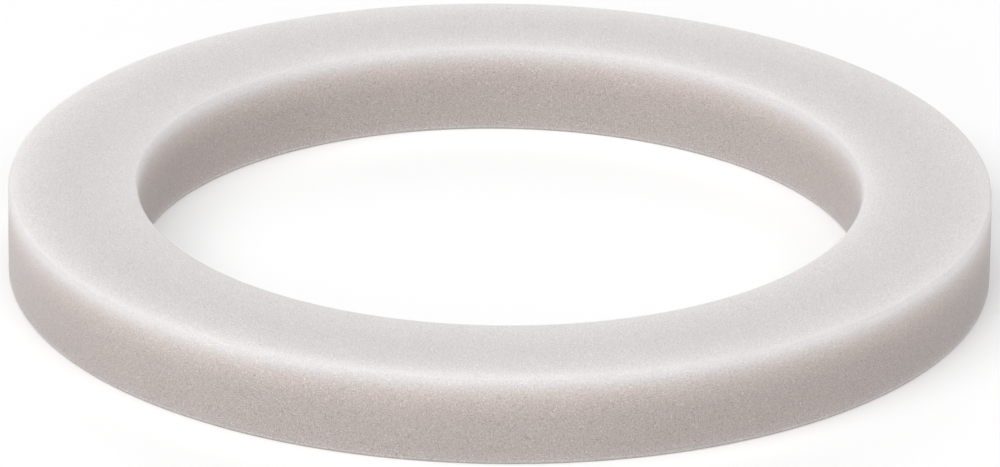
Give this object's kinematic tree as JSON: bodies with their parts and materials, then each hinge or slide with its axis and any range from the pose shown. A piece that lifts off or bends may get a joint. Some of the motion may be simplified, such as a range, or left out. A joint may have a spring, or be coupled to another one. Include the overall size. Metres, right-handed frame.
{
  "type": "silicone gasket",
  "caption": "Flat translucent white silicone gasket: a thick ring of rectangular section with softened corners that seals a 2 inch quick coupling.",
  "frame": {"origin": "on the ring's axis, at the lower sealing face", "axes": "+Z along the ring's axis, from the lower sealing face to the upper one; X and Y lie in the lower face"},
  "size_m": [0.0688, 0.0688, 0.0063],
  "materials": {
    "silicone": "translucent milky white, fine matte moulded surface"
  },
  "bodies": {
    "root": {"gasket_ring": "silicone"}
  },
  "joints": []
}
